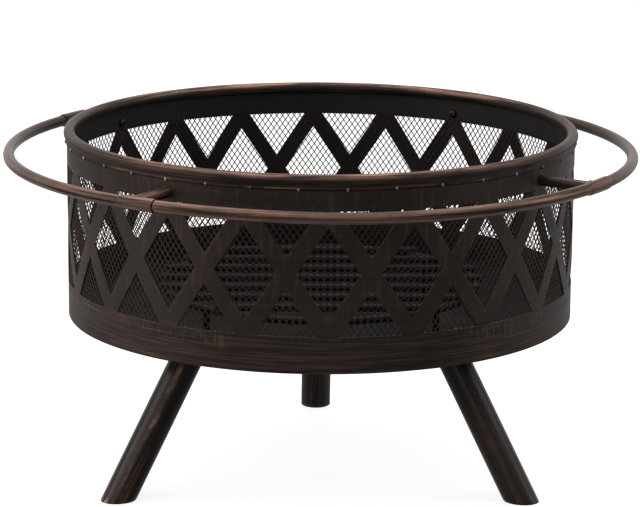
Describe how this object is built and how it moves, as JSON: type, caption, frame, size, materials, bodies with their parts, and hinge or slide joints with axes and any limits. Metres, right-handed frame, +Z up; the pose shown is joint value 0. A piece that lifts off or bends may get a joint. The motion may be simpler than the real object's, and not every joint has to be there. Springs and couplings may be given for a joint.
{
  "type": "fire pit with grate",
  "caption": "Round steel wood-burning fire pit: lattice drum with mesh liner and rolled rim, fire bowl, splayed tube legs, outer handle ring and lift-out log grate.",
  "frame": {"origin": "on the ground, at the middle of the drum's axis", "axes": "+Z up along the drum's axis; -Y is the front, half way between the two front legs; +X is to the right seen from the front"},
  "size_m": [0.76, 0.76, 0.4272],
  "materials": {
    "bronze_paint": "satin near-black brown heat-resistant paint, rubbed through to copper brown on edges",
    "dark_steel": "matt black heat-resistant paint",
    "spark_mesh": "matt black expanded mesh",
    "grate_bar": "matt black round bar, greyed by fire",
    "fastener": "dark zinc plate"
  },
  "bodies": {
    "pit": {"arm_bolt_front_left": "fastener", "arm_bolt_front_right": "fastener", "arm_bolt_rear_left": "fastener", "arm_bolt_rear_right": "fastener", "arm_insert_front_left": "fastener", "arm_insert_front_right": "fastener", "arm_insert_rear_left": "fastener", "arm_insert_rear_right": "fastener", "drum_band": "bronze_paint", "fire_bowl": "dark_steel", "leg_bolt_front_left_left": "fastener", "leg_bolt_front_left_right": "fastener", "leg_bolt_front_right_left": "fastener", "leg_bolt_front_right_right": "fastener", "leg_bolt_rear_left": "fastener", "leg_bolt_rear_right": "fastener", "leg_front_left": "bronze_paint", "leg_front_right": "bronze_paint", "leg_nut_front_left_left": "fastener", "leg_nut_front_left_right": "fastener", "leg_nut_front_right_left": "fastener", "leg_nut_front_right_right": "fastener", "leg_nut_rear_left": "fastener", "leg_nut_rear_right": "fastener", "leg_plate_front_left": "dark_steel", "leg_plate_front_right": "dark_steel", "leg_plate_rear": "dark_steel", "leg_rear": "bronze_paint", "ring_arm_front_left": "bronze_paint", "ring_arm_front_right": "bronze_paint", "ring_arm_rear_left": "bronze_paint", "ring_arm_rear_right": "bronze_paint", "ring_quarter_front": "bronze_paint", "ring_quarter_left": "bronze_paint", "ring_quarter_rear": "bronze_paint", "ring_quarter_right": "bronze_paint", "rolled_rim": "bronze_paint", "spark_mesh_liner": "spark_mesh"},
    "grate": {"log_grate": "grate_bar"}
  },
  "joints": [
    {"name": "grate_lift", "type": "slide", "parent": "pit", "child": "grate", "axis": [0, 0, 1], "range_m": [0, 0.28]}
  ]
}
